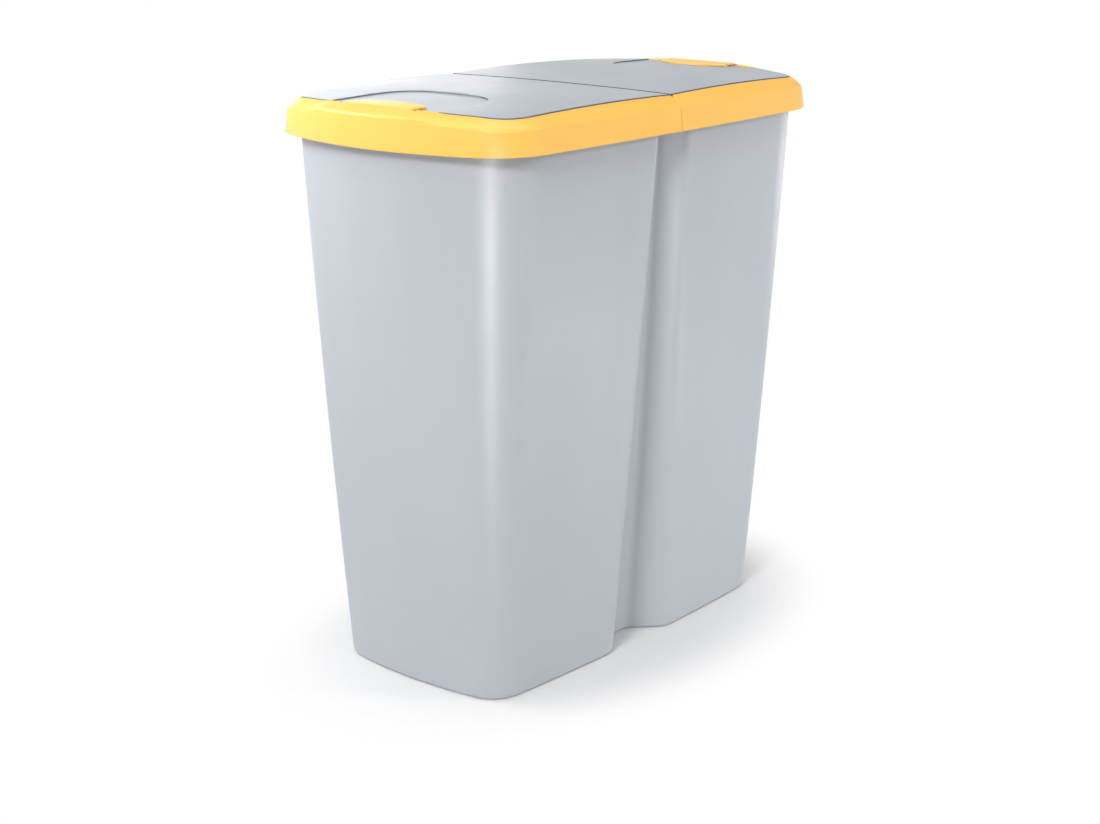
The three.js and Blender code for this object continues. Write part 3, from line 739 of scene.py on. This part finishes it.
def lid_sheet(name):
    """The lid's domed plate, as rings from the middle of its underside over its edge to the top."""
    middle = (LID_REACH * 0.52, 0)
    shares = [0.06, 0.18, 0.3, 0.42, 0.54, 0.66, 0.77, 0.87, 0.94, 0.98]
    small = lid_points(FIT, None, LID_UNDER_CHAMFER)
    rings = [domed(shrink(small, share, middle), underside) for share in shares]
    rings.append(domed(small, underside))
    rings.append(domed(lid_points(FIT), underside, -LID_UNDER_RISE))
    rings.append(domed(lid_points(FIT, LID_EDGE_SIDE), lid_top, LID_EDGE_SIDE))
    for run, rise in arc(6)[1:]:
        drop = LID_EDGE_ROUND * run
        rings.append(domed(lid_points(FIT, drop, LID_EDGE_ROUND * rise), lid_top, drop))
    top = lid_points(FIT, 0, LID_EDGE_ROUND)
    for share in reversed(shares):
        rings.append(domed(shrink(top, share, middle), lid_top))
    return skin(name, rings)


def recess_points(grow):
    """Half of a squarish oval, open at the lid's outer edge."""
    outer, half = LID_REACH + 8, RECESS_HALF_WIDTH + grow
    steps = 56
    points = []
    for k in range(steps + 1):
        angle = math.pi * (0.5 - k / steps)
        across = math.copysign(abs(math.sin(angle)) ** (2 / RECESS_SQUARENESS), math.sin(angle))
        along = max(math.cos(angle), 0) ** (2 / RECESS_SQUARENESS) if 0 < k < steps else 0
        points.append((LID_REACH - (RECESS_LENGTH + grow) * along, half * across))
    points += [(outer, mix(-half, half, k / 10)) for k in range(11)]
    return points


def recess_cutter():
    """The shallow recess round the latch, with a soft foot and a soft upper edge."""
    middle = (LID_REACH - 30, 0)
    floor = recess_points(-RECESS_FOOT)
    shares = (0.1, 0.4, 0.7, 0.9)
    rings = [domed(shrink(floor, share, middle), lid_top, RECESS_DEPTH) for share in shares]
    for run, rise in arc(4):
        drop = RECESS_DEPTH - RECESS_FOOT_RISE * rise
        rings.append(domed(recess_points(-RECESS_FOOT * run), lid_top, drop))
    for grow, drop in RECESS_EDGE:
        rings.append(domed(recess_points(grow), lid_top, drop))
    return skin("recess", rings)


def latch_top():
    return lid_top(LID_REACH, 0) + LATCH_RISE


def latch_pivot():
    """Where the trunnions' axis lies, as (x, z)."""
    return LID_REACH - LATCH_DEPTH + PIVOT_INSET, latch_top() - PIVOT_DROP


def latch_points(grow, outer, corner=0.0):
    """The latch from above: a strip whose edge towards the bin's middle is a shallow bow."""
    half, inner = LATCH_HALF + grow, LID_REACH - LATCH_DEPTH - grow
    corners = [(outer, -half, corner / 3), (outer, half, corner / 3), (inner, half, corner)]
    places = [1 - k / 10 for k in range(1, 20)]
    bow = [(inner - LATCH_BOW * (1 - place**2), half * place, 0) for place in places]
    corners += bow + [(inner, -half, corner)]
    return fillet(corners, [3, 3, 5] + [0] * len(bow) + [5])


def lid_rib():
    """The stiffening wall under the lid, a closed loop clear of the saddle and the latch."""
    end = LID_REACH - LATCH_DEPTH - LATCH_BOW - RIB_LATCH_ROOM
    start = saddle_size()[0] + RIB_SADDLE_ROOM
    outline = [(min(max(x, start), end), y) for x, y in lid_points(RIB_INSET)]
    kept = [p for i, p in enumerate(outline) if math.dist(p, outline[(i + 1) % len(outline)]) > 1]
    centre = ((start + end) / 2, 0)
    stations = []
    for x, y in kept:
        away = math.dist((x, y), centre)
        ux, uy = (x - centre[0]) / away, (y - centre[1]) / away
        top = underside(x, y)
        stations.append([(x - d * ux, y - d * uy, top + h) for d, h in RIB_PROFILE])
    return skin("rib", stations, loop=True)


def make_lid():
    """The right-hand lid: the plate, the recess, the rib, the ears and the latch's bearings."""
    lid = lid_sheet("lid_right_shell")
    cut(lid, recess_cutter())
    add(lid, lid_rib())

    for way in (-1, 1):
        y0, y1 = both(LID_HALF_WIDTH - EAR_THICKNESS, LID_HALF_WIDTH, way)
        top = underside(HINGE_X, LID_HALF_WIDTH) + 0.6
        ear = rod("ear", EAR_RADIUS, HINGE_X, HINGE_Z, y0, y1, EAR_ROUND)
        x0, x1 = HINGE_X - EAR_RADIUS, HINGE_X + EAR_RADIUS
        stem = block("stem", x0, x1, y0 + 2 * NUDGE, y1 - 2 * NUDGE, HINGE_Z, top)
        add(lid, add(ear, stem))
        cut(lid, rod("pin_hole", PIN_RADIUS + PIN_FIT, HINGE_X, HINGE_Z, y0 - 1, y1 + 1))

    opening = LATCH_HALF + FIT
    outer = opening + TRUNNION_LENGTH
    pivot_x, pivot_z = latch_pivot()
    reach = TRUNNION + CLOSE_FIT + TRUNNION_WALL
    edge = latch_points(FIT, LID_REACH + 9, LATCH_CORNER)
    cut(lid, skin("latch_opening", [ring_at(edge, LID_TOP - 20), ring_at(edge, ABOVE_LIDS)]))
    for way in (-1, 1):
        y0, y1 = both(opening, outer, way)
        x0, x1 = pivot_x - reach, pivot_x + reach
        low, top = pivot_z - reach, underside(pivot_x, outer) - RECESS_DEPTH / 2 + 1.2
        add(lid, block("latch_ear", x0, x1, y0, y1, low, top, SMALL_ROUND))
        y0, y1 = both(opening - OVERLAP, outer - 0.8, way)
        cut(lid, rod("latch_bearing", TRUNNION + CLOSE_FIT, pivot_x, pivot_z, y0, y1))
    dress(lid)
    return lid


# ---- Latches and hinge pins ---------------------------------------------------------------------


def make_latch():
    """The right-hand latch: the tab, its cheeks and trunnions, and the hook."""
    top = latch_top()
    bottom = top - LATCH_PLATE
    half = LATCH_HALF
    pivot_x, pivot_z = latch_pivot()
    levels = [(-LATCH_UNDER_CHAMFER, bottom), (0, bottom + LATCH_UNDER_CHAMFER)]
    levels += [(-LATCH_TOP_ROUND * rise, top - LATCH_TOP_ROUND * run) for run, rise in arc(5)]
    edges = [ring_at(latch_points(by, LID_REACH + by, LATCH_CORNER + by), z) for by, z in levels]
    latch = skin("latch_right_tab", edges)
    x0, x1 = max(LID_REACH - LATCH_DEPTH, pivot_x - CHEEK_HALF), pivot_x + CHEEK_HALF
    low, high = pivot_z - CHEEK_DROP, bottom + OVERLAP
    for way in (-1, 1):
        y0, y1 = both(half - CHEEK_THICKNESS, half, way)
        cheek = block("cheek", x0, x1, y0, y1, low, high, SMALL_ROUND)
        y0, y1 = both(half - 1, half + TRUNNION_LENGTH - FIT, way)
        add(latch, cheek, rod("trunnion", TRUNNION, pivot_x, pivot_z, y0, y1, 0.25))
    face = LID_REACH - HOOK_INSET
    foot = bottom - HOOK_LENGTH
    inner, outer, slim = face - OVERLAP, face + TOOTH_REACH, HOOK_HALF - NUDGE
    add(
        latch,
        block("hook", face - HOOK_THICKNESS, face, -HOOK_HALF, HOOK_HALF, foot, high, 0.25),
        block("tooth", inner, outer, -slim, slim, foot + NUDGE, foot + TOOTH_HEIGHT, SMALL_ROUND),
    )
    dress(latch)
    return latch


def make_pin(name, way):
    """A hinge pin with its head inside the lid's ear and its tip in the frame's blind bearing."""
    head = LID_HALF_WIDTH - EAR_THICKNESS - CLOSE_FIT
    tip = LID_HALF_WIDTH + FIT + PIN_BITE - CLOSE_FIT
    y0, y1 = both(head - OVERLAP, tip, way)
    pin = rod(name, PIN_RADIUS, HINGE_X, HINGE_Z, y0, y1, PIN_ROUND)
    y0, y1 = both(head - PIN_HEAD_THICKNESS, head, way)
    add(pin, rod("head", PIN_HEAD_RADIUS, HINGE_X, HINGE_Z, y0, y1, PIN_HEAD_ROUND))
    dress(pin)
    return pin


# ---- Finishes -----------------------------------------------------------------------------------


def srgb(*values):
    """The colour as the shader takes it, from the numbers that a picture shows."""
    shares = [value / 255 for value in values]
    linear = [v / 12.92 if v <= 0.04045 else ((v + 0.055) / 1.055) ** 2.4 for v in shares]
    return (*linear, 1)


class Wire:
    """A shader value with sums written as Python."""

    def __init__(self, sheet, socket):
        self.sheet, self.socket = sheet, socket

    def _math(self, kind, *values):
        return self.sheet.node("ShaderNodeMath", {"operation": kind}, *values)

    def __add__(self, other):
        return self._math("ADD", self, other)

    def __radd__(self, other):
        return self._math("ADD", other, self)

    def __sub__(self, other):
        return self._math("SUBTRACT", self, other)

    def __rsub__(self, other):
        return self._math("SUBTRACT", other, self)

    def __mul__(self, other):
        return self._math("MULTIPLY", self, other)

    def __rmul__(self, other):
        return self._math("MULTIPLY", other, self)


class Sheet:
    """The node sheet of a material or a world."""

    def __init__(self, owner):
        owner.use_nodes = True
        self.tree = owner.node_tree

    def link(self, value, socket):
        if isinstance(value, Wire):
            self.tree.links.new(value.socket, socket)
        else:
            socket.default_value = value

    def node(self, kind, settings, *values, output=0, **named):
        """A new node: its settings first, then its sockets in order, then its sockets by name."""
        made = self.tree.nodes.new(kind)
        for key, value in settings.items():
            setattr(made, key, value)
        for socket, value in zip(made.inputs, values):
            if value is not None:
                self.link(value, socket)
        for key, value in named.items():
            self.link(value, made.inputs[key.replace("_", " ")])
        return Wire(self, made.outputs[output])

    def place(self):
        return self.node("ShaderNodeTexCoord", {}, output="Object")

    def height(self, coordinates):
        """The Z part of Texture Coordinate's Normal or Generated."""
        vector = self.node("ShaderNodeTexCoord", {}, output=coordinates)
        return self.node("ShaderNodeSeparateXYZ", {}, vector, output="Z")

    def noise(self, place, scale, detail=2.0, roughness=0.5):
        sockets = {"Vector": place, "Scale": scale, "Detail": detail, "Roughness": roughness}
        return self.node("ShaderNodeTexNoise", {}, **sockets)

    def blend(self, factor, first, second):
        """A mix of two colours. None leaves the sockets that a mix of numbers or vectors uses."""
        unused = [None] * 5
        settings = {"data_type": "RGBA"}
        return self.node("ShaderNodeMix", settings, factor, *unused, first, second, output=2)

    def ramp(self, value, low, high, shape="LINEAR"):
        """0 at low and 1 at high."""
        settings = {"clamp": True, "interpolation_type": shape}
        return self.node("ShaderNodeMapRange", settings, value, low, high, 0.0, 1.0)

    def ray(self, kind):
        """1 for the rays of one kind and 0 for all others."""
        return self.node("ShaderNodeLightPath", {}, output=f"Is {kind} Ray")


class Finish(Sheet):
    """A material that starts from the usual plastic shader."""

    def __init__(self, name):
        self.material = bpy.data.materials.new(name)
        super().__init__(self.material)
        self.shader = self.tree.nodes["Principled BSDF"]

    def set(self, **sockets):
        for key, value in sockets.items():
            self.link(value, self.shader.inputs[key.replace("_", " ")])


# How often each pattern repeats in a metre.
CLOUDS = 5.0
FLOW_LINES = (26.0, 26.0, 2.2)
SPECKS = 900.0
GLOSS_PATCHES = 14.0

GLOSS_SPREAD = 0.08
GRAIN_HEIGHT = 0.0002  # metres

# The Z part of the normals between which the painted shade sets in.
LEVEL_NORMAL = 0.985
STEEP_NORMAL = 0.8


def moulded(name, deep, pale, roughness, grain, grain_size, painted_shade=None):
    """Injection-moulded plastic: slow clouds of tone, faint flow, and a fine spark-eroded grain.

    The grain's size is in millimetres. With a painted shade, the steep edges of a nearly level piece
    take that colour, as painted shade that stands in for the shadow in the gaps.
    """
    finish = Finish(name)
    place = finish.place()
    cloud = finish.noise(place, CLOUDS)
    stretched = finish.node("ShaderNodeMapping", {}, place, Scale=FLOW_LINES)
    flow = finish.noise(stretched, 1.0)
    speck = finish.noise(place, SPECKS, 1.0)
    tone = finish.ramp(cloud * 0.5 + flow * 0.3 + speck * 0.2, 0.3, 0.7)
    patch = finish.noise(place, GLOSS_PATCHES, 3.0)
    fine = finish.noise(place, 1 / (grain_size * MM), 2.0, 0.6)
    colour = finish.blend(tone, deep, pale)
    if painted_shade:
        # Painted shade: steep faces, such as the edges at the lids' split and gaps, darken as if in
        # shadow.
        level = finish.node("ShaderNodeMath", {"operation": "ABSOLUTE"}, finish.height("Normal"))
        colour = finish.blend(finish.ramp(level, LEVEL_NORMAL, STEEP_NORMAL), colour, painted_shade)
    duller = finish.ramp(patch, 0.25, 0.75) * GLOSS_SPREAD
    bump = finish.node("ShaderNodeBump", {}, Strength=grain, Distance=GRAIN_HEIGHT, Height=fine)
    finish.set(
        Base_Color=colour,
        Roughness=duller + (roughness - GLOSS_SPREAD / 2),
        Normal=bump,
    )
    return finish.material


# Painted shade for the lids' steep edges, standing in for the shadow in the gaps.
LID_EDGE_PAINTED_SHADE = srgb(84, 88, 94)
TUB_GREY = moulded("tub_grey_plastic", srgb(178, 183, 190), srgb(184, 189, 196), 0.42, 0.1, 0.9)
LID_GREY = moulded(
    "lid_grey_plastic", srgb(158, 164, 172), srgb(164, 170, 178), 0.34, 0.08, 0.9, LID_EDGE_PAINTED_SHADE
)
RIM_YELLOW = moulded("rim_yellow_plastic", srgb(255, 195, 88), srgb(255, 200, 96), 0.38, 0.08, 0.9)
PIN_GREY = moulded("pin_grey_plastic", srgb(150, 155, 161), srgb(158, 163, 169), 0.45, 0.08, 0.7)


def finish_with(obj, material, body, slot, *nodes):
    """Gives a piece its material and the body it moves with, and hides the CAD nodes it replaces. The
    slot is not used.
    """
    obj.data.materials.clear()
    obj.data.materials.append(material)
    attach(obj, body)
    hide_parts(*nodes)


# ---- Camera -------------------------------------------------------------------------------------

CAMERA_PLACE = (-1.2987, -1.0918, 0.6916)
CAMERA_DOWN = 16.186
CAMERA_ROLL = 0.114
CAMERA_HEADING = 40.207  # degrees from +X towards +Y
CAMERA_LENS = 62.98

camera_data = bpy.data.cameras.new("camera")
camera_data.sensor_width = 36
camera_data.lens = CAMERA_LENS
camera = bpy.data.objects.new("camera", camera_data)
bpy.context.collection.objects.link(camera)
camera.location = CAMERA_PLACE
turns = (90 - CAMERA_DOWN, CAMERA_ROLL, CAMERA_HEADING - 90)
camera.rotation_euler = [math.radians(turn) for turn in turns]
bpy.context.scene.camera = camera

# ---- The bin ------------------------------------------------------------------------------------

finish_with(make_tub(), TUB_GREY, "tub", "tub_grey", "tub")

right_frame = make_frame()
right_lid = make_lid()
right_latch = make_latch()
right_pins = [
    make_pin("hinge_pin_right_back_turned", 1),
    make_pin("hinge_pin_right_front_turned", -1),
]
for side in ("right", "left"):
    turned = side == "left"
    rim = mirror(right_frame, "frame_left_shell") if turned else right_frame
    lid = mirror(right_lid, "lid_left_shell") if turned else right_lid
    tab = mirror(right_latch, "latch_left_tab") if turned else right_latch
    finish_with(rim, RIM_YELLOW, f"frame_{side}", "rim_yellow", f"frame_{side}")
    finish_with(lid, LID_GREY, f"lid_{side}", "lid_grey", f"lid_{side}")
    finish_with(tab, RIM_YELLOW, f"latch_{side}", "rim_yellow", f"latch_{side}")
    for place, pin in zip(("back", "front"), right_pins):
        name = f"hinge_pin_{side}_{place}"
        piece = mirror(pin, name + "_turned") if turned else pin
        finish_with(piece, PIN_GREY, f"lid_{side}", "pin_grey", name)

# ---- Floor, world and lamps ---------------------------------------------------------------------

WHITE = (1, 1, 1, 1)
WALL_LIGHT = (0.45, 0.45, 0.45, 1)
CEILING_LIGHT = (0.3, 0.3, 0.3, 1)
WALL_TOP, CEILING_START = 0.16, 0.38  # sines of the angle over the horizon
FLOOR_OVAL = (1.0, 1.5, 1.0)
FLOOR_SHADOW_END, FLOOR_WHITE_START = 0.19, 0.33  # metres from the middle, along the bin


def paper_finish():
    """Pale paper that keeps the shadow round the bin and is plain white further off."""
    finish = Finish("studio_floor_paper")
    finish.set(Base_Color=srgb(228, 228, 229), Roughness=0.9, Specular_IOR_Level=0.0)
    oval = finish.node("ShaderNodeMapping", {}, finish.place(), Scale=FLOOR_OVAL)
    away = finish.node("ShaderNodeVectorMath", {"operation": "LENGTH"}, oval, output="Value")
    far_off = finish.ramp(away, FLOOR_SHADOW_END, FLOOR_WHITE_START, "SMOOTHSTEP")
    white = finish.node("ShaderNodeEmission", {}, WHITE, 1.0)
    paper = Wire(finish, finish.shader.outputs[0])
    mirrored = finish.ray("Glossy") + finish.ray("Transmission")
    plain_white = finish.ray("Camera") * far_off + mirrored
    surface = finish.tree.nodes["Material Output"].inputs["Surface"]
    finish.link(finish.node("ShaderNodeMixShader", {}, plain_white, paper, white), surface)
    return finish.material


bpy.ops.object.select_all(action="DESELECT")
bpy.ops.mesh.primitive_plane_add(size=30)
floor = bpy.context.object
floor.name = "studio_floor"
floor.data.materials.append(paper_finish())

scene = bpy.context.scene
scene.view_settings.view_transform = "Standard"

scene.world = bpy.data.worlds.new("studio")
studio = Sheet(scene.world)
rise = studio.ramp(studio.height("Generated"), WALL_TOP, CEILING_START, "SMOOTHSTEP")
shown = studio.ray("Camera") + studio.ray("Glossy") + studio.ray("Transmission")
wall = studio.blend(shown, WALL_LIGHT, WHITE)
background = studio.tree.nodes["Background"].inputs["Color"]
studio.link(studio.blend(rise, wall, CEILING_LIGHT), background)


def softbox(name, place, aim, width, height, power):
    """A lamp that a camera does not see, in metres and watts, turned to what it is aimed at."""
    data = bpy.data.lights.new(name, "AREA")
    data.shape = "RECTANGLE"
    data.size, data.size_y = width, height
    data.energy = power
    lamp = bpy.data.objects.new(name, data)
    bpy.context.collection.objects.link(lamp)
    lamp.location = place
    way = [a - p for a, p in zip(aim, place)]
    flat = math.hypot(way[0], way[1])
    lamp.rotation_euler = (math.atan2(flat, -way[2]), 0, math.atan2(way[1], way[0]) - math.pi / 2)
    lamp.visible_camera = False
    return lamp


softbox("top_softbox", (-0.2, 0, 2.6), (0, 0, 0.2), 2.0, 2.0, 21)
softbox("key_softbox", (-2.35, -0.85, 2.0), (0, 0, 0.3), 0.7, 0.7, 46)
softbox("back_left_softbox", (-0.43, 0.42, 0.74), (-0.2, 0.1, 0.47), 0.3, 0.3, 2.4)
softbox("back_softbox", (0.7, 1.32, 0.7), (-0.1, 0, 0.5), 1.0, 0.35, 1.7)
softbox("front_softbox", (0.9, -1.9, 1.45), (0.1, -0.1, 0.3), 0.25, 0.25, 10)
softbox("right_softbox", (1.5, -0.28, 0.16), (0.2, -0.05, 0.12), 0.6, 0.3, 1.8)
softbox("floor_softbox", (0.34, -0.6, 0.06), (0.14, -0.1, 0.04), 0.5, 0.1, 0.7)
corner_glint = softbox("corner_softbox", (-0.82, -0.52, 0.17), (-0.2, -0.1, 0.17), 0.15, 0.3, 5.5)
corner_glint.visible_diffuse = False
